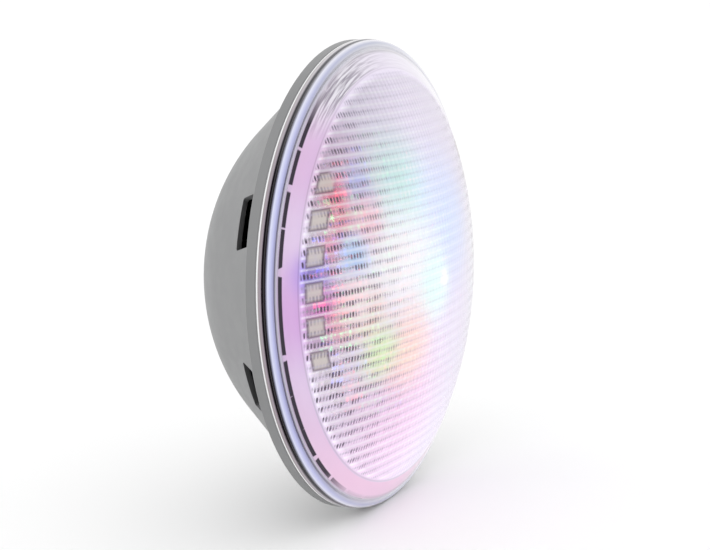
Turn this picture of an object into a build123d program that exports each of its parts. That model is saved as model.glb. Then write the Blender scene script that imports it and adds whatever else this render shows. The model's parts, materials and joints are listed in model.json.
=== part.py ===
"""Underwater pool lamp of the seven inch sealed reflector size, with a colour LED array.

Every piece is drawn in lamp axes: +Z along the light beam, +Y up, and zero where the lens meets the
housing on the lamp's axis. The last step turns each piece into the part's frame, where the beam leaves
along -Y and +Z is up. All lengths are millimetres.
"""

from build123d import *
from math import atan2, cos, degrees, radians, sin, sqrt
import os

# Driving dimensions of the lamp body, as (radius, height along the beam) where they are pairs.
RIM_R = 88.9
LENS_RIM_TOP = 2.2
SEAT_Z = -4.1
EDGE_BREAK = 0.4
DOME_EDGE = (80.9, 8.9)
DOME_TOP = 29.6
LENS_WALL = 3.0
RIB_PITCH = 4.0
RIB_DEPTH = 0.6
RIB_COUNT = 40
LENS_BORE_R = 80.4

# The bowl of the housing: a straight cone that bends into a round back.
BOWL_TOP = (84.4, SEAT_Z)
BOWL_TURN = (61.5, -32.0)
BOWL_BEND_R = 74.0
REAR_Z = -54.0
HOUSING_WALL = 2.5
POCKET_R = 84.2
LEDGE_Z = -2.6

SLOT_COUNT = 8
SLOT_WIDTH = 18.9
SLOT_FRONT_Z = -7.0
SLOT_REAR_Z = -16.2
SLOT_CORNER = 1.0

# The heat sink is a pan with a deep well for the driver and a ring of fins under it.
PAN_FLANGE_TOP = -1.0
PAN_R = 84.0
PAN_FLOOR_Z = -6.5
PAN_FLOOR_R = 72.0
PAN_WALL = 2.4
WELL_R = 32.0
WELL_Z = -44.0
FIN_COUNT = 24
FIN_THICK = 1.6
FIN_GAP = 6.5
FIN_KNEE_Z = -29.0
FIN_END_Z = -38.0
FIN_FOOT = 9.0

PAD_THICK = 0.5
BOARD_THICK = 1.6
LED_BOARD_R = 60.0
LED_BOARD_Z = PAN_FLOOR_Z + PAD_THICK
LED_TOP_Z = LED_BOARD_Z + BOARD_THICK
LED_RINGS = ((15.0, 6), (29.5, 12), (44.0, 18))
COLOURS = ("red", "green", "blue")
CUP_SIDE = 9.0
CUP_HEIGHT = 4.6
LINER_LIP_R = 50.6
LINER_LIP_THICK = 1.0
LINER_EDGE = (79.4, 2.8)
BOARD_SCREW_RING = (54.0, 6, 7.5)

DRIVER_Z = -20.0
DRIVER_R = 28.0
POST_RING = (24.0, 3, 90.0)
HOUSING_SCREW_RING = (24.0, 4, 45.0)

# Rear terminals: metric 4 mm studs, each with a jam nut, a washer, a spring washer and a nut.
STUD_Y = 13.0
STUD_R = 2.0
STUD_END_Z = -69.2
STUD_CLEAR = 0.05
NUT_FLATS = 7.0
NUT_HEIGHT = 3.2
JAM_HEIGHT = 2.2
BASE_THICK = 4.0
BASE_LENGTH = 50.0
BASE_WIDTH = 22.0
BARRIER_REACH = 1.2
WASHER_THICK = 0.8
SPRING_THICK = 1.1
LUG_THICK = 0.8
SEAL_THICK = 1.6
SLEEVE_R = 3.6

SCREW_R = 1.5
SCREW_CLEAR = 0.02
HEAD_R = 2.8
HEAD_HEIGHT = 2.0

LEAD_R = 0.9
LEAD_BEND = 3.0

# Places along the axis that follow from the dimensions above.
REAR_INNER_Z = REAR_Z + HOUSING_WALL
PAN_FLOOR_BACK = PAN_FLOOR_Z - PAN_WALL
WELL_BACK = WELL_Z - PAN_WALL
BASE_Z = REAR_Z - BASE_THICK
JAM_Z = BASE_Z - JAM_HEIGHT
WASHER_Z = JAM_Z - WASHER_THICK
SPRING_Z = WASHER_Z - SPRING_THICK
NUT_Z = SPRING_Z - NUT_HEIGHT
BUSH_FLANGE_Z = WELL_BACK - SEAL_THICK
LUG_Z = WELL_Z + LUG_THICK
HEAD_Z = LUG_Z + LUG_THICK
LEAD_Z = LUG_Z + 1.5
DRIVER_TOP_Z = DRIVER_Z + BOARD_THICK

TO_FRAME = Rot(90, 0, 0)
NODES = {}


def keep(name, *solids):
    """Files a piece, or a group of like pieces, under its node name."""
    NODES[name] = solids[0] if len(solids) == 1 else Compound(children=list(solids))


def turned(*edges):
    """The solid that a closed outline of edges, drawn as (radius, height), sweeps round the axis."""
    outline = Plane.XZ * (Curve() + list(edges))
    return revolve(make_face(outline), Axis.Z)


def lathe(*points):
    """The same for an outline of straight lines through these points."""
    return revolve(make_face(Plane.XZ * Polyline(*points, close=True)), Axis.Z)


def disc(radius, low, high, x=0.0, y=0.0):
    """A round bar along the beam, between two heights."""
    return Pos(x, y, (low + high) / 2) * Cylinder(radius, high - low)


def block(width, depth, low, high, x=0.0, y=0.0):
    """A square-cornered block between two heights."""
    return Pos(x, y, (low + high) / 2) * Box(width, depth, high - low)


def flat_ring(y, low, high, radius, bore=STUD_R + STUD_CLEAR):
    """A ring on the stud at y, with a free bore."""
    return disc(radius, low, high, 0, y) - disc(bore, low - 1, high + 1, 0, y)


def around(ring):
    """Places evenly round the axis, for a ring given as (radius, count, first angle)."""
    radius, count, first = ring
    angles = [radians(first + 360 * i / count) for i in range(count)]
    return [(radius * cos(a), radius * sin(a)) for a in angles]


def dome_centre(top, edge):
    """Height of a ball's centre on the axis, and its radius, from a cap's top and edge."""
    rise = top - edge[1]
    radius = (edge[0] ** 2 + rise**2) / (2 * rise)
    return top - radius, radius


DOME_Z, DOME_R = dome_centre(DOME_TOP, DOME_EDGE)


def bowl_edges(inset):
    """Cone line and bend of the bowl's surface, moved inwards by inset, with the corner points."""
    run = (BOWL_TURN[0] - BOWL_TOP[0], BOWL_TURN[1] - BOWL_TOP[1])
    length = sqrt(run[0] ** 2 + run[1] ** 2)
    inward = (run[1] / length, -run[0] / length)
    top = (BOWL_TOP[0] + inward[0] * inset, BOWL_TOP[1] + inward[1] * inset)
    turn = (BOWL_TURN[0] + inward[0] * inset, BOWL_TURN[1] + inward[1] * inset)
    centre = (BOWL_TURN[0] + inward[0] * BOWL_BEND_R, BOWL_TURN[1] + inward[1] * BOWL_BEND_R)
    bend = BOWL_BEND_R - inset
    back = (centre[0] + sqrt(bend**2 - (REAR_Z + inset - centre[1]) ** 2), REAR_Z + inset)
    start = atan2(turn[1] - centre[1], turn[0] - centre[0])
    end = atan2(back[1] - centre[1], back[0] - centre[0])
    middle = (start + end) / 2
    halfway = (centre[0] + bend * cos(middle), centre[1] + bend * sin(middle))
    return top, turn, back, [Line(top, turn), ThreePointArc(turn, halfway, back)]


def cone_radius(height, inset):
    """Radius of the bowl's cone at a height, for the surface moved inwards by inset."""
    top, turn, _, _ = bowl_edges(inset)
    return top[0] + (turn[0] - top[0]) * (height - top[1]) / (turn[1] - top[1])


# Lens and rim


def rib_cutter():
    """The space behind the dome. Its skin leaves horizontal lens ribs on the dome's inner face."""
    inner_r = DOME_R - LENS_WALL
    half = RIB_PITCH * RIB_COUNT / 2
    heights = [-half + RIB_PITCH * i for i in range(RIB_COUNT + 1)]
    crest_r = inner_r - RIB_DEPTH
    edges = []
    for low, high in zip(heights, heights[1:]):
        middle = (low + high) / 2
        start = (sqrt(inner_r**2 - low**2), low)
        crest = (sqrt(crest_r**2 - middle**2), middle)
        end = (sqrt(inner_r**2 - high**2), high)
        edges.append(ThreePointArc(start, crest, end))
    first, last = edges[0] @ 0, edges[-1] @ 1
    core = inner_r / 2
    edges.append(Polyline((last.X, last.Y), (core, half), (core, -half), (first.X, first.Y)))
    spread = 70.0
    face = make_face(Curve() + edges)
    swept = revolve(face, Axis.Y, revolution_arc=spread)
    swept = Rot(0, -90 - spread / 2, 0) * swept
    return Pos(0, 0, DOME_Z) * swept


def front_lens():
    """Clear dome with a stepped rim. The rim's back has the groove for the gasket."""
    inner_r = DOME_R - LENS_WALL
    neck = LENS_BORE_R - 1.5
    neck_z = DOME_Z + sqrt(inner_r**2 - neck**2)
    dome_mid = (DOME_R * sin(radians(14)), DOME_Z + DOME_R * cos(radians(14)))
    bead_start, bead_end = (88.6, 3.3), (86.1, 5.6)
    body = turned(
        ThreePointArc((0, DOME_TOP), dome_mid, DOME_EDGE),
        Polyline(DOME_EDGE, (85.0, 6.4), (85.2, 5.2), (85.7, 5.2), bead_end),
        ThreePointArc(bead_end, (87.9, 5.0), bead_start),
        Polyline(
            bead_start,
            (88.2, 3.0),
            (88.2, 2.5),
            (RIM_R, LENS_RIM_TOP),
            (RIM_R, EDGE_BREAK),
            (RIM_R - EDGE_BREAK, 0),
            (83.4, 0),
            (83.4, 0.7),
            (81.4, 0.7),
            (81.4, 0),
            (LENS_BORE_R, 0),
            (LENS_BORE_R, 4.6),
            (neck, neck_z),
            (neck, 0),
            (0, 0),
            (0, DOME_TOP),
        ),
    )
    hollow = rib_cutter() & disc(neck + 0.3, -5, DOME_TOP)
    return body - hollow


def rim_gasket():
    """Flat silicone ring between the lens and the heat sink's flange."""
    return lathe((83.35, PAN_FLANGE_TOP), (83.35, 0.7), (81.45, 0.7), (81.45, PAN_FLANGE_TOP))


def rear_housing():
    """Outer bowl: rim flange, slotted cone and flat back, with holes for screws and studs."""
    _, _, out_back, outside = bowl_edges(0)
    _, _, in_back, inside = bowl_edges(HOUSING_WALL)
    ledge = (cone_radius(LEDGE_Z, HOUSING_WALL), LEDGE_Z)
    in_turn = inside[0] @ 1
    shell = turned(
        Polyline(
            (POCKET_R, 0),
            (RIM_R - EDGE_BREAK, 0),
            (RIM_R, -EDGE_BREAK),
            (RIM_R, SEAT_Z + EDGE_BREAK),
            (RIM_R - EDGE_BREAK, SEAT_Z),
            BOWL_TOP,
        ),
        *outside,
        Polyline(out_back, (0, REAR_Z), (0, REAR_INNER_Z), in_back),
        inside[1],
        Polyline((in_turn.X, in_turn.Y), ledge, (POCKET_R, LEDGE_Z), (POCKET_R, 0)),
    )
    slot = Box(40, SLOT_WIDTH, SLOT_FRONT_Z - SLOT_REAR_Z)
    slot = fillet(slot.edges().filter_by(Axis.X), SLOT_CORNER)
    middle = (SLOT_FRONT_Z + SLOT_REAR_Z) / 2
    for i in range(SLOT_COUNT):
        shell -= Rot(0, 0, 360 * (i + 0.5) / SLOT_COUNT) * Pos(RIM_R - 10, 0, middle) * slot
    for x, y in around(HOUSING_SCREW_RING):
        shell -= disc(SCREW_R + 0.2, REAR_Z - 1, REAR_INNER_Z + 1, x, y)
    for y in (-STUD_Y, STUD_Y):
        shell -= disc(STUD_R + 0.1, REAR_Z - 1, REAR_INNER_Z + 1, 0, y)
    return shell


# Heat sink and LED array


def cooling_fins():
    """Radial blades brazed under the pan. Their edges follow the inside of the bowl."""
    top = PAN_FLOOR_BACK
    outer = cone_radius(top, HOUSING_WALL) - FIN_GAP
    lower = cone_radius(FIN_KNEE_Z, HOUSING_WALL) - FIN_GAP
    root = WELL_R + PAN_WALL
    foot = root + FIN_FOOT
    flank = Polyline(
        (root, top), (outer, top), (lower, FIN_KNEE_Z), (foot, FIN_END_Z), (root, FIN_END_Z), close=True
    )
    blade = extrude(make_face(Plane.XZ * flank), FIN_THICK / 2, both=True)
    return [Rot(0, 0, 360 * i / FIN_COUNT) * blade for i in range(FIN_COUNT)]


def heat_sink():
    """Die-cast pan. Its floor carries the LED board, and its well holds the driver."""
    pan = lathe(
        (PAN_R, PAN_FLANGE_TOP),
        (PAN_FLOOR_R + 5.5, PAN_FLANGE_TOP),
        (PAN_FLOOR_R, PAN_FLOOR_Z),
        (WELL_R + 1.5, PAN_FLOOR_Z),
        (WELL_R, PAN_FLOOR_Z - 1.5),
        (WELL_R, WELL_Z),
        (0, WELL_Z),
        (0, WELL_BACK),
        (WELL_R + PAN_WALL, WELL_BACK),
        (WELL_R + PAN_WALL, PAN_FLOOR_BACK),
        (PAN_FLOOR_R - 0.5, PAN_FLOOR_BACK),
        (PAN_FLOOR_R + 5.6, LEDGE_Z),
        (PAN_R, LEDGE_Z),
    )
    for x, y in around(BOARD_SCREW_RING):
        pan += disc(3.2, PAN_FLOOR_BACK - 4, PAN_FLOOR_BACK + 0.5, x, y)
        pan -= disc(SCREW_R + SCREW_CLEAR, PAN_FLOOR_BACK - 3.2, PAN_FLOOR_Z + 1, x, y)
    for x, y in around(POST_RING):
        pan += disc(3.2, WELL_Z - 0.5, DRIVER_Z, x, y)
        pan -= disc(SCREW_R + SCREW_CLEAR, DRIVER_Z - 7, DRIVER_Z + 1, x, y)
    for x, y in around(HOUSING_SCREW_RING):
        pan += disc(4.0, REAR_INNER_Z, WELL_BACK + 0.5, x, y)
        pan -= disc(SCREW_R + SCREW_CLEAR, REAR_INNER_Z - 1, WELL_BACK + 0.6, x, y)
    for y in (-STUD_Y, STUD_Y):
        pan -= disc(SLEEVE_R + 0.1, WELL_BACK - 1, WELL_Z + 1, 0, y)
    return pan


def thermal_pad():
    """Soft pad that carries heat from the LED board to the pan's floor."""
    pad = disc(LED_BOARD_R - 1, PAN_FLOOR_Z, LED_BOARD_Z) - disc(WELL_R + 2, PAN_FLOOR_Z, LED_BOARD_Z)
    for x, y in around(BOARD_SCREW_RING):
        pad -= disc(SCREW_R + 0.5, PAN_FLOOR_Z, LED_BOARD_Z, x, y)
    return pad


def led_board():
    """Round metal-cored board."""
    board = disc(LED_BOARD_R, LED_BOARD_Z, LED_TOP_Z)
    for x, y in around(BOARD_SCREW_RING):
        board -= disc(SCREW_R + 0.2, LED_BOARD_Z, LED_TOP_Z, x, y)
    return board


def led_places():
    """Every LED as (x, y, colour), ring by ring, with the colours in turn."""
    places = []
    for radius, count in LED_RINGS:
        spots = around((radius, count, 0.0))
        places += [(x, y, COLOURS[i % len(COLOURS)]) for i, (x, y) in enumerate(spots)]
    return places


def led_package(x, y):
    """One LED: a square base with a small round lens."""
    base = block(3.4, 3.4, LED_TOP_Z, LED_TOP_Z + 1.2, x, y)
    bulb = Pos(x, y, LED_TOP_Z + 1.2) * Sphere(0.95)
    return base + (bulb & block(3, 3, LED_TOP_Z + 0.6, LED_TOP_Z + 3, x, y))


def led_cup(x, y):
    """Square holder with a flared round hole that the LED shines through."""
    cup = block(CUP_SIDE, CUP_SIDE, LED_TOP_Z, LED_TOP_Z + CUP_HEIGHT, x, y)
    cup = fillet(cup.edges().filter_by(Axis.Z), 0.6)
    return cup - Pos(x, y, LED_TOP_Z + CUP_HEIGHT / 2) * Cone(2.6, 4.0, CUP_HEIGHT)


def collimator(x, y):
    """Clear lens that stands in a cup and gathers the LED's light."""
    low = LED_TOP_Z + 2.4
    high = LED_TOP_Z + CUP_HEIGHT
    stem = Pos(x, y, (low + high) / 2) * Cone(3.25, 3.92, high - low)
    cap = Pos(x, y, high - 5.5) * Sphere(6.75)
    return stem + (cap & block(CUP_SIDE, CUP_SIDE, high, high + 3, x, y))


def reflector_liner():
    """White ring from the LED board up to the lens. It hides the board's edge and spreads the light."""
    lip_top = LED_TOP_Z + LINER_LIP_THICK
    foot = (LED_BOARD_R - 2, lip_top)
    liner = lathe(
        (LINER_LIP_R, LED_TOP_Z),
        (LINER_LIP_R, lip_top),
        foot,
        LINER_EDGE,
        (LINER_EDGE[0], LINER_EDGE[1] - 1.2),
        (LED_BOARD_R, LED_TOP_Z),
    )
    for x, y in around(BOARD_SCREW_RING):
        liner -= disc(SCREW_R + 0.2, LED_TOP_Z - 1, lip_top + 1, x, y)
    return liner


def screw(x, y, seat, tip):
    """Round-headed cross-slot screw. Its head stands on seat, and its shank runs to tip."""
    away = 1 if seat > tip else -1
    head_end = seat + away * HEAD_HEIGHT
    head = disc(HEAD_R, min(seat, head_end), max(seat, head_end), x, y)
    rim = head.edges().filter_by(GeomType.CIRCLE).sort_by(Axis.Z)[-1 if away > 0 else 0]
    head = fillet(rim, 1.1)
    for turn in (0, 90):
        head -= Pos(x, y, head_end) * Rot(0, 0, turn) * Box(3.2, 0.7, 2.2)
    return head + disc(SCREW_R, min(seat, tip), max(seat, tip), x, y)


# Driver electronics in the well


def driver_board():
    """Round board on the three posts of the well."""
    board = disc(DRIVER_R, DRIVER_Z, DRIVER_TOP_Z)
    for x, y in around(POST_RING):
        board -= disc(SCREW_R + 0.2, DRIVER_Z, DRIVER_TOP_Z, x, y)
    return board


def smoothing_capacitors():
    """Two upright electrolytic cans with a rolled groove."""
    cans = []
    for x, y in ((12.0, 11.0), (16.5, 1.0)):
        low, waist, top = DRIVER_TOP_Z, DRIVER_TOP_Z + 1.6, DRIVER_TOP_Z + 9.0
        can = lathe(
            (0, low), (4, low), (4, waist - 0.5), (3.6, waist), (4, waist + 0.5),
            (4, top - 0.4), (3.6, top), (0, top),
        )
        cans.append(Pos(x, y, 0) * can)
    return cans


def power_inductor():
    """Drum core: two flanges with the winding between them."""
    low = DRIVER_TOP_Z
    drum = lathe(
        (0, low), (6, low), (6, low + 1.2), (5.2, low + 1.5), (5.2, low + 6.5),
        (6, low + 6.8), (6, low + 8.0), (0, low + 8.0),
    )
    return Pos(-13, 8, 0) * drum


def chip(x, y, width, depth, height, pins):
    """Moulded chip body with flat leads along two sides."""
    low = DRIVER_TOP_Z
    body = block(width, depth, low + 0.2, low + height, x, y)
    body = chamfer(body.edges().group_by(Axis.Z)[-1], 0.2)
    pitch = width / pins
    for i in range(pins):
        place = x - width / 2 + pitch * (i + 0.5)
        body += block(pitch / 2, depth + 1.6, low, low + 0.4, place, y)
    return body


def link_socket():
    """Six-way socket on the driver board."""
    low, high = DRIVER_TOP_Z, LED_BOARD_Z - 3.6
    socket = block(16, 3, low, high, 0, -3)
    for i in range(6):
        socket -= disc(0.5, high - 5, high + 1, -6.35 + 2.54 * i, -3)
    return socket


def link_header():
    """Pin strip on the back of the LED board. Its pins reach into the socket."""
    strip = block(16, 3, LED_BOARD_Z - 2.0, LED_BOARD_Z, 0, -3)
    for i in range(6):
        strip += disc(0.4, LED_BOARD_Z - 7, LED_BOARD_Z - 1, -6.35 + 2.54 * i, -3)
    return strip


def lead_lug(y):
    """Ring lug on a stud's head end, with a crimp barrel for the lead."""
    ring = flat_ring(y, LUG_Z, HEAD_Z, 4.0)
    tongue = block(3.4, 2.4, LUG_Z, HEAD_Z, 5.2, y)
    barrel = Pos(7.6, y, LEAD_Z) * Rot(0, 90, 0)
    return ring + tongue + barrel * Cylinder(1.5, 3.6) - barrel * Cylinder(LEAD_R + SCREW_CLEAR, 4.0)


def supply_lead(y):
    """Insulated wire from a lug's barrel up to the back of the driver board."""
    route = FilletPolyline((6.0, y, LEAD_Z), (14.0, y, LEAD_Z), (14.0, y, DRIVER_Z), radius=LEAD_BEND)
    start = Plane(route @ 0, z_dir=route % 0)
    return sweep(start * Circle(LEAD_R), route)


# Terminals


def hex_nut(y, low, high):
    """Chamfered hexagon nut on the stud at y."""
    corner_r = NUT_FLATS / sqrt(3)
    body = extrude(Pos(0, y, low) * RegularPolygon(corner_r, 6), high - low)
    face_r = NUT_FLATS / 2
    drop = (corner_r - face_r) / 2
    barrel = lathe(
        (0, low), (face_r, low), (corner_r, low + drop), (corner_r, high - drop), (face_r, high), (0, high)
    )
    body = body & (Pos(0, y, 0) * barrel)
    return body - disc(STUD_R + STUD_CLEAR, low - 1, high + 1, 0, y)


def spring_washer(y):
    """Split ring. The slanted cut gives it its spring."""
    ring = flat_ring(y, SPRING_Z, WASHER_Z, 3.8)
    cut = Pos(3, y, (SPRING_Z + WASHER_Z) / 2) * Rot(35, 0, 0) * Box(4, 0.7, 6)
    return ring - cut


def terminal_stud(y):
    """Stud with a hexagon head inside the well and a chamfered free end."""
    head = extrude(Pos(0, y, HEAD_Z) * RegularPolygon(NUT_FLATS / sqrt(3), 6), 2.8)
    shank = Pos(0, y, 0) * lathe(
        (0, HEAD_Z),
        (STUD_R, HEAD_Z),
        (STUD_R, STUD_END_Z + 0.5),
        (STUD_R - 0.5, STUD_END_Z),
        (0, STUD_END_Z),
    )
    return head + shank


def stud_bush(y):
    """Insulating bush that carries a stud through the pan's wall."""
    flange = flat_ring(y, REAR_INNER_Z, BUSH_FLANGE_Z, 7.0)
    return flange + flat_ring(y, REAR_INNER_Z, LUG_Z, SLEEVE_R)


def terminal_base():
    """Insulating block behind the housing, with a barrier wall between the two studs."""
    plate = extrude(Pos(0, 0, BASE_Z) * SlotOverall(BASE_LENGTH, BASE_WIDTH, rotation=90), BASE_THICK)
    plate = fillet(plate.edges().group_by(Axis.Z)[0], 1.2)
    barrier = block(14, 2.6, NUT_Z - BARRIER_REACH, BASE_Z + 1)
    barrier = fillet(barrier.edges().group_by(Axis.Z)[0], 0.8)
    base = plate + barrier
    for y in (-STUD_Y, STUD_Y):
        base -= disc(STUD_R + 0.1, BASE_Z - 1, REAR_Z + 1, 0, y)
    return base


def build():
    keep("front_lens", front_lens())
    keep("rim_gasket", rim_gasket())
    keep("rear_housing", rear_housing())
    keep("heat_sink", heat_sink())
    keep("cooling_fins", *cooling_fins())
    keep("thermal_pad", thermal_pad())
    keep("led_board", led_board())
    keep("reflector_liner", reflector_liner())
    places = led_places()
    for colour in COLOURS:
        keep(f"{colour}_leds", *[led_package(x, y) for x, y, c in places if c == colour])
    keep("led_cups", *[led_cup(x, y) for x, y, _ in places])
    keep("collimator_lenses", *[collimator(x, y) for x, y, _ in places])

    lip_top = LED_TOP_Z + LINER_LIP_THICK
    board_tip = PAN_FLOOR_BACK - 3
    keep("board_screws", *[screw(x, y, lip_top, board_tip) for x, y in around(BOARD_SCREW_RING)])
    keep("driver_board", driver_board())
    driver_tip = DRIVER_Z - 6.5
    keep("driver_screws", *[screw(x, y, DRIVER_TOP_Z, driver_tip) for x, y in around(POST_RING)])
    keep("smoothing_capacitors", *smoothing_capacitors())
    keep("power_inductor", power_inductor())
    keep("bridge_rectifier", chip(-2, 15.5, 9, 6.4, 2.6, 2))
    keep("colour_drivers", *[chip(x, -12.5, 5, 3.9, 1.6, 4) for x in (-8.5, 0, 8.5)])
    keep("control_chip", chip(-1.5, 5, 7, 5.3, 1.4, 7))
    keep("link_socket", link_socket())
    keep("link_header", link_header())

    housing_tip = WELL_BACK + 0.4
    keep("housing_screws", *[screw(x, y, REAR_Z, housing_tip) for x, y in around(HOUSING_SCREW_RING)])
    keep("terminal_base", terminal_base())
    for side, y in (("upper", STUD_Y), ("lower", -STUD_Y)):
        keep(f"{side}_stud", terminal_stud(y))
        keep(f"{side}_stud_bush", stud_bush(y))
        keep(f"{side}_stud_seal", flat_ring(y, BUSH_FLANGE_Z, WELL_BACK, 6.2, SLEEVE_R + 0.05))
        keep(f"{side}_lead_lug", lead_lug(y))
        keep(f"{side}_supply_lead", supply_lead(y))
        keep(f"{side}_jam_nut", hex_nut(y, JAM_Z, BASE_Z))
        keep(f"{side}_washer", flat_ring(y, WASHER_Z, JAM_Z, 4.5))
        keep(f"{side}_spring_washer", spring_washer(y))
        keep(f"{side}_terminal_nut", hex_nut(y, NUT_Z, SPRING_Z))

    os.makedirs("parts", exist_ok=True)
    for name, shape in NODES.items():
        export_step(TO_FRAME * shape, f"parts/{name}.step")


build()
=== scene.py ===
"""Looks of the underwater pool lamp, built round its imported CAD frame. Lengths in metres."""

import json
import math

import bpy
import numpy as np
from mathutils import Matrix, Vector

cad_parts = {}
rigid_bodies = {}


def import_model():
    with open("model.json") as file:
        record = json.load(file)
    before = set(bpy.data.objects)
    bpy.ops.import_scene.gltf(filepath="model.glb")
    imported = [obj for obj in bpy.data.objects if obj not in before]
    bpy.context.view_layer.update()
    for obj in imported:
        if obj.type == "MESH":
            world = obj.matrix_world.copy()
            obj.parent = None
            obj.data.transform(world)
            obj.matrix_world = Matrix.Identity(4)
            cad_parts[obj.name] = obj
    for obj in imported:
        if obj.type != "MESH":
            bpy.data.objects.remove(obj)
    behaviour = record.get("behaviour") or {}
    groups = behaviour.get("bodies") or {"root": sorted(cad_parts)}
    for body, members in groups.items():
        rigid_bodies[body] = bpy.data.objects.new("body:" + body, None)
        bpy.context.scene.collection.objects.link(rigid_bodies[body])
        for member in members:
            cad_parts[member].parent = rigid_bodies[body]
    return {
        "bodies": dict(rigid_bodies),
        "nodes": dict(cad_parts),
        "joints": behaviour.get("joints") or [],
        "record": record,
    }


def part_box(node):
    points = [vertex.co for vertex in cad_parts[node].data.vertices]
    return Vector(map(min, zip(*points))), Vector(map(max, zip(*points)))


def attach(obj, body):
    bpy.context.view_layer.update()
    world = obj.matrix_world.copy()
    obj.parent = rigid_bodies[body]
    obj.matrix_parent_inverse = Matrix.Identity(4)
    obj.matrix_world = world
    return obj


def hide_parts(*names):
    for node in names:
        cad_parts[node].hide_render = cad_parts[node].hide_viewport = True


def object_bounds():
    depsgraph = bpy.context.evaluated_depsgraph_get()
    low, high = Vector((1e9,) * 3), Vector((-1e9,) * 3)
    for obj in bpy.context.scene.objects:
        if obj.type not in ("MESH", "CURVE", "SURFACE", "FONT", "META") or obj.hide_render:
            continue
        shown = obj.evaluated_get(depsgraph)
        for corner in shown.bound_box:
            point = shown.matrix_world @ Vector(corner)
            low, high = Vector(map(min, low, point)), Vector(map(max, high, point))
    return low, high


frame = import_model()
cad_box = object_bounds()
NODES = frame["nodes"]
MM = 0.001
TAU = 2 * math.pi

# The lens. Its dome is part of a ball, and BALL_Z is the ball's centre in front of the rim plane.
RIM_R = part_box("rear_housing")[1].x
DOME_TOP = -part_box("front_lens")[0].y
DOME_EDGE_R, DOME_EDGE_Z = 0.0809, 0.0089
RISE = DOME_TOP - DOME_EDGE_Z
BALL_R = (DOME_EDGE_R**2 + RISE**2) / (2 * RISE)
BALL_Z = DOME_TOP - BALL_R
WALL = 0.003
DOME_BACK_R = 0.0789
RIB_PITCH, RIB_DEPTH = 0.004, 0.0006
FLUTE_PITCH, FLUTE_DEPTH = 0.0027, 0.00016

# The rounded bead of the rim, in millimetres like the rim's outline.
BEAD_R, BEAD_Z, BEAD_WIDE, BEAD_HIGH = 86.1, 3.3, 2.5, 2.3

STUD_CREST_R, STUD_ROOT_R, STUD_CHAMFER = 0.0020, 0.00157, 0.0005
STUD_HEAD_FLATS, STUD_HEAD_LENGTH = 0.0070, 0.0028
THREAD_PITCH, THREAD_LENGTH = 0.0007, 0.0126
SHARP_ANGLE = math.radians(30)
FLOOR_HALF, FLOOR_GAP = 40.0, 0.0003


# Camera, floor and light


def make_camera(azimuth, elevation, roll, distance, aim, lens):
    """Camera on a ball round the aim point. Azimuth 0 looks at the lens, along +Y."""
    a, e, t = (math.radians(v) for v in (azimuth, elevation, roll))
    back = Vector((math.sin(a) * math.cos(e), -math.cos(a) * math.cos(e), math.sin(e)))
    level = Vector((math.cos(a), math.sin(a), 0))
    up = back.cross(level)
    right = level * math.cos(t) + up * math.sin(t)
    top = up * math.cos(t) - level * math.sin(t)
    data = bpy.data.cameras.new("camera")
    data.lens = lens
    data.clip_start, data.clip_end = 0.01, 50
    camera = bpy.data.objects.new("camera", data)
    camera.matrix_world = Matrix((right, top, back)).transposed().to_4x4()
    camera.location = Vector(aim) + back * distance
    bpy.context.scene.collection.objects.link(camera)
    bpy.context.scene.camera = camera


def area_light(name, place, target, size, power):
    """Soft rectangular light at a place, aimed at the target."""
    data = bpy.data.lights.new(name, "AREA")
    data.shape = "RECTANGLE"
    data.size, data.size_y = size
    data.energy = power
    light = bpy.data.objects.new(name, data)
    light.location = place
    light.rotation_mode = "QUATERNION"
    light.rotation_quaternion = (Vector(target) - Vector(place)).to_track_quat("-Z", "Y")
    bpy.context.scene.collection.objects.link(light)


make_camera(-63.58, 9.39, -2.64, 0.6133, (-0.0026, 0.0053, -0.0002), 81.29)
area_light("key", (-0.9, -0.1, 0.9), (0, 0.02, 0), (0.9, 0.9), 1.2)
area_light("back", (-0.4, 1.1, 0.3), (0, 0.05, 0), (0.8, 0.8), 0.6)

world = bpy.data.worlds.new("studio")
world.use_nodes = True
world.node_tree.nodes["Background"].inputs["Color"].default_value = (1.0, 1.0, 1.0, 1)
world.node_tree.nodes["Background"].inputs["Strength"].default_value = 1.08
bpy.context.scene.world = world
bpy.context.scene.view_settings.view_transform = "Standard"


# Materials


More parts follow.
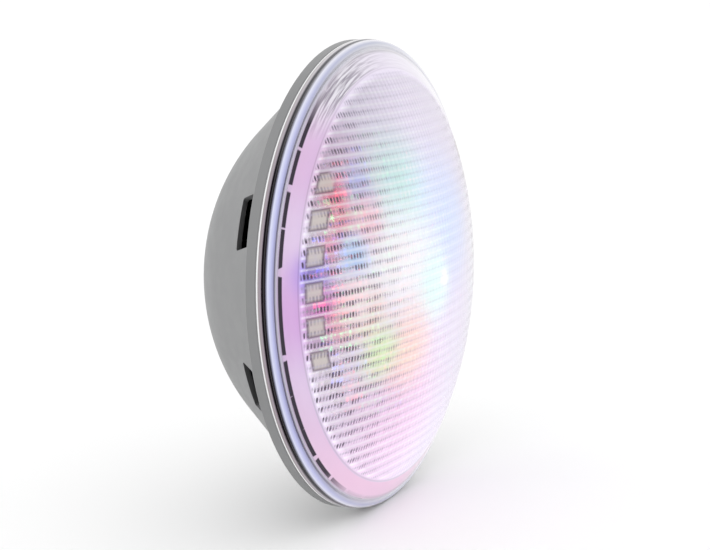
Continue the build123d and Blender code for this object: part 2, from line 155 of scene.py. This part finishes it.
class Paint:
    """A Principled material and the few node steps that the surfaces here are made of."""

    def __init__(self, name, colour, rough, **plain):
        self.mat = bpy.data.materials.new(name)
        self.mat.use_nodes = True
        self.tree = self.mat.node_tree
        self.shader = self.tree.nodes["Principled BSDF"]
        self.inputs = self.shader.inputs
        self.inputs["Base Color"].default_value = (*colour, 1)
        self.inputs["Roughness"].default_value = rough
        for key, value in plain.items():
            self.inputs[key.replace("_", " ")].default_value = value
        self.colour = colour
        coords = self.tree.nodes.new("ShaderNodeTexCoord")
        self.place = coords.outputs["Object"]

    def link(self, source, target):
        self.tree.links.new(source, target)

    def node(self, kind, **settings):
        made = self.tree.nodes.new(kind)
        for key, value in settings.items():
            setattr(made, key, value)
        return made

    def math(self, operation, a, b=0.0):
        made = self.node("ShaderNodeMath", operation=operation)
        for socket, value in zip(made.inputs, (a, b)):
            if isinstance(value, (int, float)):
                socket.default_value = value
            else:
                self.link(value, socket)
        return made.outputs[0]

    def times(self, a, b):
        return self.math("MULTIPLY", a, b)

    def stretched(self, scale):
        made = self.node("ShaderNodeMapping")
        made.inputs["Scale"].default_value = scale
        self.link(self.place, made.inputs["Vector"])
        return made.outputs[0]

    def noise(self, size, detail=2.0, scale=(1, 1, 1)):
        """Noise whose grains are about size metres across."""
        made = self.node("ShaderNodeTexNoise")
        made.inputs["Scale"].default_value = 1 / size
        made.inputs["Detail"].default_value = detail
        self.link(self.stretched(scale), made.inputs["Vector"])
        return made.outputs["Fac"]

    def spread(self, source, low, high, lowest, highest):
        """Maps low..high of the source to lowest..highest."""
        made = self.node("ShaderNodeMapRange")
        for key, value in (("From Min", low), ("From Max", high), ("To Min", lowest), ("To Max", highest)):
            made.inputs[key].default_value = value
        self.link(source, made.inputs["Value"])
        return made.outputs[0]

    def mix(self, factor, a, b, blend="MIX"):
        made = self.node("ShaderNodeMix", data_type="RGBA", blend_type=blend)
        if isinstance(factor, (int, float)):
            made.inputs["Factor"].default_value = factor
        else:
            self.link(factor, made.inputs["Factor"])
        for socket, value in ((made.inputs[6], a), (made.inputs[7], b)):
            if isinstance(value, tuple):
                socket.default_value = (*value, 1)
            else:
                self.link(value, socket)
        return made.outputs[2]

    def tint(self, source, low=0.35, high=0.65, dark=0.85, light=1.08):
        """Varies the base colour between a darker and a lighter shade of itself."""
        shade = [tuple(min(c * k, 1) for c in self.colour) for k in (dark, light)]
        self.link(self.mix(self.spread(source, low, high, 0, 1), *shade), self.inputs["Base Color"])

    def gloss(self, source, smooth, rough, low=0.35, high=0.65):
        self.link(self.spread(source, low, high, smooth, rough), self.inputs["Roughness"])

    def bump(self, source, depth):
        """Relief of the given depth in metres."""
        made = self.node("ShaderNodeBump")
        made.inputs["Strength"].default_value = 1.0
        made.inputs["Distance"].default_value = depth
        self.link(source, made.inputs["Height"])
        self.link(made.outputs[0], self.inputs["Normal"])


def moulded(name, colour, rough=0.5, vary=0.05, grain=0.0004, relief=0.00002, **plain):
    """Moulded plastic or rubber: fine grain, and slow change of shade and gloss over the piece."""
    paint = Paint(name, colour, rough, **plain)
    paint.tint(paint.noise(0.02, 4), dark=1 - vary, light=1 + vary)
    paint.gloss(paint.noise(0.006, 3), rough * (1 - 3 * vary), min(rough * (1 + 3 * vary), 1))
    paint.bump(paint.noise(grain, 2), relief)
    return paint


def turned_metal(name, colour, rough=0.28):
    """Turned or drawn metal: fine rings along the part's own axis, which lies along Y."""
    paint = Paint(name, colour, rough, Metallic=1.0)
    paint.tint(paint.noise(0.003, 3), dark=0.86, light=1.06)
    paint.gloss(paint.noise(0.0008, 3, (0.2, 3, 0.2)), rough * 0.7, rough * 1.4)
    paint.bump(paint.noise(0.0004, 2, (0.15, 3, 0.15)), 0.000012)
    return paint


def circuit(name, colour, rough=0.35):
    """Solder mask over a board: shallow copper tracks show through as straight, stepped lanes."""
    paint = Paint(name, colour, rough, Specular_IOR_Level=0.6)
    lanes = paint.node("ShaderNodeTexBrick")
    lanes.inputs["Scale"].default_value = 180
    lanes.inputs["Mortar Size"].default_value = 0.012
    turn = paint.node("ShaderNodeMapping")
    turn.inputs["Rotation"].default_value = (math.pi / 2, 0, 0)
    paint.link(paint.place, turn.inputs["Vector"])
    paint.link(turn.outputs[0], lanes.inputs["Vector"])
    light = tuple(min(c * 1.5 + 0.02, 1) for c in colour)
    paint.link(paint.mix(lanes.outputs["Fac"], colour, light), paint.inputs["Base Color"])
    paint.gloss(paint.noise(0.004, 3), rough * 0.8, rough * 1.3)
    paint.bump(lanes.outputs["Fac"], 0.00003)
    return paint


def finish_node(node, paint):
    """Puts one material on every slot of a CAD node."""
    for held in NODES[node].material_slots:
        held.material = paint.mat


# Painted light of the array on the lens: glow centres as (x, z, radius, colour), in millimetres and linear
# colour.
# The small white one at the centre is a painted bright spot, and the wide pale one on the right a painted
# reflection.
GLOWS = (
    (-60, 50, 36, (0.72, 0.52, 0.72)),
    (-76, 0, 30, (0.66, 0.40, 0.74)),
    (-26, -46, 52, (0.86, 0.62, 0.82)),
    (-20, 34, 34, (0.60, 0.88, 0.85)),
    (12, 20, 44, (0.64, 0.72, 0.96)),
    (-30, 8, 40, (0.97, 0.95, 0.99)),
    (-6, -2, 22, (0.74, 0.95, 0.92)),
    (-46, 38, 14, (0.50, 0.54, 0.86)),
    (-46, 27, 16, (0.95, 0.60, 0.70)),
    (-57, 37, 11, (0.93, 0.22, 0.36)),
    (-57, 29, 10, (0.93, 0.34, 0.46)),
    (-62, 20, 10, (0.88, 0.30, 0.48)),
    (-54, 16, 13, (0.50, 0.68, 0.95)),
    (-72, 12, 13, (0.30, 0.24, 0.80)),
    (-68, 0, 11, (0.78, 0.22, 0.66)),
    (-61, -6, 13, (0.90, 0.34, 0.50)),
    (-50, -6, 18, (0.95, 0.74, 0.66)),
    (-25, -22, 26, (0.99, 0.70, 0.64)),
    (-42, -21, 17, (0.74, 0.93, 0.55)),
    (-54, -1, 15, (0.97, 0.80, 0.86)),
    (3, -1, 6, (1.0, 1.0, 1.0)),
    (72, 0, 60, (0.86, 0.86, 0.90)),
)
WASH = (0.79, 0.72, 0.87)

# Colours across the rim, as (millimetres in from its outer edge, linear colour), where the light of the
# array is painted on it and where it isn't. Both sets hold painted highlights (the white seam line, the
# bead, the line past its notch) and painted reflections of the dark parts behind the rim (the black groove,
# the dark lines).
RIM_LIT = (
    (0.0, (0.95, 0.95, 0.96)),
    (0.75, (0.95, 0.95, 0.96)),
    (0.95, (0.32, 0.28, 0.29)),
    (1.9, (0.36, 0.30, 0.35)),
    (2.4, (0.01, 0.005, 0.01)),
    (3.9, (0.004, 0.002, 0.006)),
    (4.3, (0.20, 0.20, 0.30)),
    (4.9, (0.74, 0.76, 0.95)),
    (6.6, (0.52, 0.53, 0.84)),
    (8.0, (0.30, 0.30, 0.50)),
    (8.6, (0.04, 0.03, 0.08)),
    (9.4, (0.86, 0.83, 0.94)),
    (10.2, (0.55, 0.45, 0.62)),
    (12.9, (0.72, 0.42, 0.74)),
    (20.6, (0.62, 0.36, 0.70)),
    (21.2, (0.22, 0.10, 0.26)),
    (21.8, (0.62, 0.45, 0.70)),
)
RIM_PALE = (
    (0.0, (0.85, 0.85, 0.85)),
    (0.75, (0.85, 0.85, 0.85)),
    (0.95, (0.50, 0.49, 0.50)),
    (1.9, (0.72, 0.70, 0.73)),
    (2.7, (0.20, 0.20, 0.22)),
    (3.5, (0.26, 0.26, 0.28)),
    (4.9, (0.82, 0.81, 0.86)),
    (6.8, (0.46, 0.48, 0.60)),
    (8.6, (0.72, 0.72, 0.76)),
    (9.6, (0.86, 0.86, 0.90)),
    (11.2, (0.36, 0.36, 0.37)),
    (13.0, (0.80, 0.76, 0.84)),
    (20.6, (0.80, 0.74, 0.84)),
    (21.3, (0.48, 0.44, 0.52)),
    (22.0, (0.8, 0.75, 0.85)),
)
RIM_SPAN = 24.0


def across_rim(paint):
    """Place on the lens: x, z, radius, and millimetres in from its edge, over the steps and up the dome."""
    split = paint.node("ShaderNodeSeparateXYZ")
    paint.link(paint.place, split.inputs[0])
    x, y, z = split.outputs
    radius = paint.math("SQRT", paint.math("ADD", paint.times(x, x), paint.times(z, z)))
    inward = paint.math("SUBTRACT", RIM_R, radius)
    return x, z, radius, paint.math("DIVIDE", paint.math("SUBTRACT", inward, y), MM)


def wash_colour(paint):
    """The mixed light of the array, painted as soft patches of colour."""
    wash = WASH
    for x, z, radius, colour in GLOWS:
        away = paint.node("ShaderNodeVectorMath", operation="DISTANCE")
        paint.link(paint.stretched((1, 0, 1)), away.inputs[0])
        away.inputs[1].default_value = (x * MM, 0, z * MM)
        made = paint.node("ShaderNodeMapRange", interpolation_type="SMOOTHERSTEP")
        made.inputs["From Min"].default_value = radius * MM
        made.inputs["From Max"].default_value = 0
        paint.link(away.outputs["Value"], made.inputs["Value"])
        wash = paint.mix(made.outputs[0], wash, colour)
    return wash


def bands(paint, source, stops):
    """Colour by a measure that runs from 0 to RIM_SPAN."""
    ramp = paint.node("ShaderNodeValToRGB")
    edges = ramp.color_ramp.elements
    edges[0].position, edges[0].color = stops[0][0] / RIM_SPAN, (*stops[0][1], 1)
    edges[1].position, edges[1].color = stops[-1][0] / RIM_SPAN, (*stops[-1][1], 1)
    for place, colour in stops[1:-1]:
        edges.new(place / RIM_SPAN).color = (*colour, 1)
    paint.link(paint.math("DIVIDE", source, RIM_SPAN), ramp.inputs["Fac"])
    return ramp.outputs["Color"]


def wave(paint, source, pitch, low, high):
    """0 to 1 in even stripes. low and high bound the stripe's edge, as shares of half the pitch."""
    turn = paint.math("PINGPONG", paint.math("DIVIDE", source, pitch / 2), 1.0)
    return paint.spread(turn, low, high, 0, 1)


# How the array's edge shows through the lens, painted on the lens itself: dark dashes on the rim, a painted
# reflection of the gasket broken by the LEDs' light, and painted images of square LED frames near the dome's
# edge.
DASHES = 36
FRAME_RING, FRAME_PITCH, FRAME_HALF = 0.072, 0.012, 0.0040
# Colours of the painted images of the LED frames seen through the lens.
FRAME_BORDER, FRAME_FACE = (0.12, 0.09, 0.11), (0.42, 0.38, 0.35)
# Painted shade of the dark ticks and along the ribs, and a painted highlight on the rib crests.
TICK_SHADE, RIB_SHADE, CREST_HIGHLIGHT = (0.03, 0.012, 0.045), (0.36, 0.33, 0.44), (0.95, 0.96, 0.98)
# Painted reflection in the dark dashes, painted glow on the lower collar, and a painted reflection that
# pales the rim.
DASH_REFLECTION, LOWER_COLLAR_GLOW, RIM_REFLECTION_WHITE = (0.010, 0.002, 0.018), (0.88, 0.56, 0.74), (0.88, 0.86, 0.91)
# Light and dark painted reflection streaks on the collar.
STREAK_REFLECTION_DARK, STREAK_REFLECTION_LIGHT = (0.16, 0.15, 0.18), (0.80, 0.79, 0.83)


def frame_marks(paint, x, z, radius):
    """Where a painted image of a square LED frame shows near the dome's edge (0 to 1), and its colour there.
    """
    aside = paint.math("ABSOLUTE", paint.math("SUBTRACT", radius, FRAME_RING))
    level = paint.math("SUBTRACT", FRAME_PITCH / 2, paint.math("PINGPONG", z, FRAME_PITCH / 2))
    aside = paint.math("MAXIMUM", aside, level)
    apart = paint.math("ABSOLUTE", x)
    seen = paint.times(paint.spread(apart, 0.053, 0.057, 0, 1), paint.spread(z, -0.024, -0.021, 0, 1))
    frame = paint.times(paint.spread(aside, FRAME_HALF, FRAME_HALF - 0.0007, 0, 0.9), seen)
    return frame, paint.mix(paint.spread(aside, 0.0032, 0.0023, 0, 1), FRAME_BORDER, FRAME_FACE)


def dome_colour(paint, x, z, radius, inside, wash):
    """The array's light painted on the dome, with painted shade of the ribs and dark ticks, painted
    highlights on the rib crests and painted images of the LED frames, and where the frames are.
    """
    frame, face = frame_marks(paint, x, z, radius)
    # Painted shade of the dark ticks where ribs and flutes cross, strongest towards both sides, and lighter
    # over the frames.
    far = paint.spread(x, 0.03, 0.065, 0, 0.6)
    sides = paint.math("MAXIMUM", paint.spread(x, -0.018, -0.058, 0, 1), far)
    patchy = paint.spread(paint.noise(0.006, 2, (1, 0, 1)), 0.42, 0.56, 0.15, 1)
    row = wave(paint, paint.math("ADD", z, 0.0002), RIB_PITCH, 0.62, 0.36)
    tick = wave(paint, x, FLUTE_PITCH / 2, 0.30, 0.60)
    dark = paint.times(paint.times(row, tick), paint.times(patchy, sides))
    dark = paint.times(dark, paint.times(inside, 0.95))
    dark = paint.times(dark, paint.spread(frame, 0, 1, 1, 0.35))
    # Painted shade along the rib lines and a painted highlight on their crests, both stronger to the left.
    rib = wave(paint, z, RIB_PITCH, 0.30, 0.06)
    dotted = paint.math("ADD", paint.times(tick, 0.5), 0.5)
    rib = paint.times(rib, paint.times(dotted, paint.spread(x, 0.02, -0.05, 0.12, 0.60)))
    crest = paint.times(wave(paint, z, RIB_PITCH, 0.70, 0.92), paint.spread(x, -0.03, 0.03, 0.45, 0.12))
    colour = paint.mix(crest, wash, CREST_HIGHLIGHT)
    colour = paint.mix(frame, colour, face)
    colour = paint.mix(rib, colour, RIB_SHADE)
    return paint.mix(dark, colour, TICK_SHADE), frame


def reflection_streaks(paint, inset, angle):
    """Painted reflection: long light and dark streaks that follow the rim round."""
    along = paint.node("ShaderNodeCombineXYZ")
    paint.link(inset, along.inputs["X"])
    paint.link(paint.times(angle, 5.0), along.inputs["Y"])
    glint = paint.node("ShaderNodeTexNoise")
    glint.inputs["Scale"].default_value = 1.1
    paint.link(along.outputs[0], glint.inputs["Vector"])
    return paint.mix(paint.spread(glint.outputs["Fac"], 0.42, 0.58, 0, 1), STREAK_REFLECTION_DARK, STREAK_REFLECTION_LIGHT)


def rim_colour(paint, x, z, inset, wash):
    """Bands of the stepped rim with painted light, highlights and reflections, the dark dashes as a painted
    reflection, painted reflection streaks and painted glow on the flat collar round the dome, and a paler
    painted reflection.
    """
    angle = paint.math("ARCTAN2", z, x)
    turn = paint.math("PINGPONG", paint.times(angle, DASHES / math.pi), 1.0)
    tall = paint.math("ABSOLUTE", z)
    # Where the array's painted light and the dark painted reflections are strongest: the left side, and the
    # right at mid-height.
    middle = paint.spread(tall, 0.048, 0.060, 1, 0)
    far = paint.times(paint.spread(x, 0.035, 0.065, 0, 0.8), middle)
    lit = paint.times(paint.spread(x, 0.0, -0.055, 0, 1), paint.spread(tall, 0.045, 0.080, 1, 0.5))
    lit = paint.math("MAXIMUM", lit, far)
    rim = paint.mix(lit, bands(paint, inset, RIM_PALE), bands(paint, inset, RIM_LIT))

    # Dark dashes: a painted reflection of the gasket, broken by the LEDs' light.
    ragged = paint.times(paint.noise(0.011, 1), 0.9)
    dash = paint.spread(paint.math("SUBTRACT", turn, ragged), -0.36, -0.30, 0, 1)
    on = paint.times(paint.spread(inset, 10.2, 10.6, 0, 1), paint.spread(inset, 12.3, 12.7, 1, 0))
    on = paint.times(on, paint.spread(tall, 0.062, 0.074, 1, 0.1))
    strong = paint.math("MAXIMUM", paint.spread(x, -0.01, -0.05, 0.12, 1), far)
    dash = paint.times(paint.times(dash, on), strong)

    # Painted light of the array over the collar.
    rim = paint.mix(paint.spread(inset, 9.0, 13.0, 0, 0.6), rim, wash)
    collar = paint.times(paint.spread(inset, 9.0, 13.0, 0, 1), paint.spread(inset, 20.8, 20.4, 0, 1))
    # Painted reflection streaks along the top of the collar.
    streaks = paint.times(paint.spread(z, 0.056, 0.070, 0, 0.75), paint.spread(x, 0.0, -0.03, 0.15, 1))
    rim = paint.mix(paint.times(streaks, collar), rim, reflection_streaks(paint, inset, angle))
    # Pinker painted glow of the array on the lower collar.
    rim = paint.mix(paint.times(collar, paint.spread(z, -0.02, -0.07, 0, 0.7)), rim, LOWER_COLLAR_GLOW)
    # Paler rim on the right, away from mid-height: a painted reflection.
    pale = paint.times(paint.spread(x, 0.0, 0.04, 0, 0.65), paint.math("SUBTRACT", 1.0, middle))
    rim = paint.mix(pale, rim, RIM_REFLECTION_WHITE)
    return paint.mix(dash, rim, DASH_REFLECTION)


def lens_paint():
    """Clear ribbed lens over the lit array, which shines through it. The array's coloured light on the lens
    is painted into its colour and given off by the lens as painted glow.
    """
    paint = Paint("lens_dome_clear", (0.97, 0.98, 1.0), 0.05, IOR=1.49, Transmission_Weight=1.0)
    x, z, radius, inset = across_rim(paint)
    wash = wash_colour(paint)
    inside = paint.spread(inset, 21.6, 23.0, 0, 1)
    dome, frame = dome_colour(paint, x, z, radius, inside, wash)
    skin = paint.mix(inside, rim_colour(paint, x, z, inset, wash), dome)
    paint.link(skin, paint.inputs["Base Color"])

    haze = paint.spread(x, -0.075, 0.0, 0.2, 0.7)
    clear = paint.times(paint.math("SUBTRACT", 1.0, haze), paint.spread(inset, 21.8, 26.0, 0.15, 1))
    clear = paint.times(clear, paint.math("SUBTRACT", 1.0, frame))
    paint.link(clear, paint.inputs["Transmission Weight"])
    # The lens gives off its painted colour as painted glow: stronger on the left, fainter towards the top,
    # and a faint extra glow along the bottom.
    paint.link(skin, paint.inputs["Emission Color"])
    glow = paint.times(paint.spread(x, -0.01, 0.06, 0.27, 0.03), paint.spread(z, 0.02, 0.07, 1, 0.3))
    low_glow = paint.spread(z, -0.04, -0.08, 0, 0.10)
    paint.link(paint.math("ADD", paint.times(inside, glow), low_glow), paint.inputs["Emission Strength"])
    paint.gloss(paint.noise(0.002, 2), 0.03, 0.08)
    return paint


# Geometry


def surface_of_rings(name, poles, rings, kinds):
    """A closed skin from rings of points, front to back, with a pole point at each end. kinds holds each
    ring's material slot."""
    count = rings[0].shape[0]
    verts = np.concatenate((poles[0], *rings, poles[1]))
    step = np.arange(count)
    after = (step + 1) % count
    quads = []
    for k in range(len(rings) - 1):
        low = 1 + k * count
        high = low + count
        quads += np.stack((low + step, high + step, high + after, low + after), 1).tolist()
    last = 1 + (len(rings) - 1) * count
    front = np.stack((np.zeros(count, int), 1 + step, 1 + after), 1).tolist()
    back = np.stack((np.full(count, len(verts) - 1), last + after, last + step), 1).tolist()
    mesh = bpy.data.meshes.new(name)
    mesh.from_pydata(verts.tolist(), [], front + quads + back)
    slots = np.repeat([kinds[0], *kinds[:-1], kinds[-1]], count)
    mesh.polygons.foreach_set("material_index", slots.astype(np.int32))
    mesh.set_sharp_from_angle(angle=SHARP_ANGLE)
    mesh.update()
    piece = bpy.data.objects.new(name, mesh)
    bpy.context.scene.collection.objects.link(piece)
    return piece


def outer_height(x, z):
    """Front of the dome, with the fine upright flutes cut into it."""
    ball = BALL_Z + np.sqrt(BALL_R**2 - x**2 - z**2)
    flute = np.abs(np.sin(math.pi * x / FLUTE_PITCH))
    fade = np.clip((DOME_EDGE_R - 0.0032 - np.hypot(x, z)) / 0.001, 0, 1)
    return ball - FLUTE_DEPTH * (1 - flute) * fade


def inner_height(x, z):
    """Back of the dome, with rounded level ribs that stand towards the LEDs."""
    radius = BALL_R - WALL
    ball = BALL_Z + np.sqrt(radius**2 - x**2 - z**2)
    phase = np.mod(z / RIB_PITCH, 1.0)
    return ball - RIB_DEPTH * (1 - (2 * phase - 1) ** 2)


def build_lens(segments=896, rows=132):
    """The whole lens: fluted dome, stepped rim, gasket groove and ribbed back, in one closed skin."""
    angle = np.arange(segments) * TAU / segments
    across, up = np.cos(angle), np.sin(angle)

    def ring(radius, height):
        x, z = radius * across, radius * up
        high = height(x, z) if callable(height) else np.full(segments, height)
        return np.stack((x, -high, z), 1)

    # The rim's outline, from the dome's edge out over the bead, round the seam and back in over the groove.
    turns = np.linspace(0.1, 1.5, 9)
    bead = [(BEAD_R + BEAD_WIDE * math.sin(t), BEAD_Z + BEAD_HIGH * math.cos(t)) for t in turns]
    rim = [(85.0, 6.4), (85.2, 5.2), (85.7, 5.2), *bead, (88.2, 3.0), (88.2, 2.5), (88.85, 2.2), (88.9, 2.0)]
    rim += [(88.9, 0.4), (88.5, 0.0), (83.4, 0.0), (83.4, 0.7), (81.4, 0.7), (81.4, 0.0), (80.4, 0.0)]
    rim += [(80.4, 4.6)]

    rings = [ring(DOME_EDGE_R * i / rows, outer_height) for i in range(1, rows + 1)]
    rings += [ring(radius * MM, height * MM) for radius, height in rim]
    kinds = [0] * len(rings) + [1] * rows
    rings += [ring(DOME_BACK_R * i / rows, inner_height) for i in range(rows, 0, -1)]
    poles = [np.array([[0, -height(0, 0), 0]]) for height in (outer_height, inner_height)]
    lens = surface_of_rings("lens_clear_dome", poles, rings, kinds)
    lens.data.shade_smooth()
    lens.data.materials.append(lens_paint().mat)
    back = moulded("lens_back_clear", (1, 1, 1), 0.03, Transmission_Weight=1.0, IOR=1.49)
    lens.data.materials.append(back.mat)
    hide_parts("front_lens")
    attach(lens, "lamp")


def build_stud(side, segments=48, steps=10):
    """Terminal stud: hexagon head inside the lamp, plain shank, and a rolled right-hand thread."""
    front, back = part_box(f"{side}_stud")
    middle = (front + back) / 2
    head_end = front.y + STUD_HEAD_LENGTH
    thread_start = back.y - THREAD_LENGTH
    angle = np.arange(segments) * TAU / segments
    hexagon = STUD_HEAD_FLATS / 2 / np.cos(np.mod(angle, TAU / 6) - TAU / 12)

    def ring(radius, y):
        x, z = radius * np.cos(angle), radius * np.sin(angle)
        return np.stack((middle.x + x, np.full(segments, y), middle.z + z), 1)

    rings = [ring(hexagon * 0.93, front.y), ring(hexagon, front.y + 0.25 * MM), ring(hexagon, head_end)]
    rings += [ring(STUD_CREST_R, head_end), ring(STUD_CREST_R, thread_start)]
    count = round(THREAD_LENGTH / THREAD_PITCH * steps)
    for y in np.linspace(thread_start, back.y, count + 1)[1:]:
        phase = np.mod((y - thread_start) / THREAD_PITCH + angle / TAU, 1.0)
        depth = np.clip((0.5 - np.abs(phase - 0.5)) * 2.6 - 0.2, 0, 1)
        fade = min((y - thread_start) / THREAD_PITCH, 1.0)
        chamfer = STUD_CREST_R - STUD_CHAMFER * np.clip((y - back.y) / STUD_CHAMFER + 1, 0, 1)
        groove = STUD_CREST_R - (STUD_CREST_R - STUD_ROOT_R) * depth * fade
        rings.append(ring(np.minimum(groove, chamfer), y))
    poles = [np.array([[middle.x, y, middle.z]]) for y in (front.y, back.y)]
    stud = surface_of_rings(f"{side}_stud_threaded", poles, rings, [0] * len(rings))
    stud.data.materials.append(turned_metal(f"{side}_stud_brass", BRASS).mat)
    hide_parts(f"{side}_stud")
    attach(stud, "lamp")


def build_floor():
    """Wide pale floor just under the lamp."""
    low = cad_box[0].z - FLOOR_GAP
    corners = [(x * FLOOR_HALF, z * FLOOR_HALF, low) for x, z in ((-1, -1), (1, -1), (1, 1), (-1, 1))]
    mesh = bpy.data.meshes.new("floor")
    mesh.from_pydata(corners, [], [(0, 1, 2, 3)])
    floor = bpy.data.objects.new("floor", mesh)
    bpy.context.scene.collection.objects.link(floor)
    paint = Paint("floor_white", (0.94, 0.94, 0.94), 0.9)
    paint.tint(paint.noise(0.3, 2), dark=0.99, light=1.01)
    floor.data.materials.append(paint.mat)


build_lens()
build_floor()


# Materials of the CAD pieces

GREY, BLACK, SOOT = (0.215, 0.217, 0.22), (0.02, 0.02, 0.02), (0.02, 0.02, 0.022)
STEEL, BRASS, JAM_BRASS = (0.6, 0.6, 0.6), (0.75, 0.55, 0.25), (0.72, 0.52, 0.24)
LED_COLOURS = {"red": (1, 0.05, 0.08), "green": (0.05, 1, 0.3), "blue": (0.1, 0.2, 1)}
LED_GLOW = 6

finish_node("rear_housing", moulded("housing_grain", GREY, 0.45, vary=0.02))
finish_node("heat_sink", moulded("sink_black", SOOT, 0.4))
finish_node("cooling_fins", moulded("fin_black", SOOT, 0.45))
finish_node("rim_gasket", moulded("gasket_silicone", (0.8, 0.8, 0.8), 0.6))
finish_node("thermal_pad", moulded("pad_soft", (0.45, 0.52, 0.58), 0.7))
finish_node("led_board", circuit("board_white", (0.86, 0.86, 0.86)))
finish_node("reflector_liner", moulded("liner_satin", (0.9, 0.9, 0.9), 0.4))
finish_node("led_cups", moulded("cup_silver", (0.72, 0.67, 0.60), 0.35))
finish_node("collimator_lenses", moulded("collimator_clear", (1, 1, 1), 0.05, Alpha=0.25))
for colour, glow in LED_COLOURS.items():
    led = moulded(f"led_{colour}_resin", glow, 0.2)
    led.inputs["Emission Color"].default_value = (*glow, 1)
    led.inputs["Emission Strength"].default_value = LED_GLOW
    finish_node(f"{colour}_leds", led)
for name in ("board_screws", "driver_screws", "housing_screws"):
    finish_node(name, turned_metal(f"{name}_steel", STEEL))
finish_node("driver_board", circuit("driver_mask", (0.02, 0.14, 0.05)))
finish_node("smoothing_capacitors", moulded("can_sleeve", (0.03, 0.04, 0.10), 0.3))
finish_node("power_inductor", moulded("ferrite", (0.06, 0.06, 0.065), 0.6))
for name in ("bridge_rectifier", "colour_drivers", "control_chip"):
    finish_node(name, moulded(f"{name}_epoxy", SOOT, 0.5))
finish_node("link_socket", moulded("socket_nylon", BLACK, 0.45))
finish_node("link_header", turned_metal("pin_gold", (0.8, 0.55, 0.2)))
finish_node("terminal_base", moulded("base_nylon", (0.03, 0.03, 0.032), 0.45))
for side, wire in (("upper", (0.45, 0.02, 0.02)), ("lower", BLACK)):
    build_stud(side)
    finish_node(f"{side}_stud_bush", moulded(f"{side}_bush_nylon", (0.75, 0.73, 0.66), 0.4))
    finish_node(f"{side}_stud_seal", moulded(f"{side}_seal_rubber", BLACK, 0.7))
    finish_node(f"{side}_lead_lug", turned_metal(f"{side}_lug_tin", (0.66, 0.66, 0.63)))
    finish_node(f"{side}_supply_lead", moulded(f"{side}_lead_silicone", wire, 0.5))
    finish_node(f"{side}_jam_nut", turned_metal(f"{side}_jam_brass", JAM_BRASS))
    finish_node(f"{side}_washer", turned_metal(f"{side}_washer_steel", STEEL))
    finish_node(f"{side}_spring_washer", turned_metal(f"{side}_spring_steel", (0.5, 0.5, 0.5)))
    finish_node(f"{side}_terminal_nut", turned_metal(f"{side}_nut_brass", BRASS))
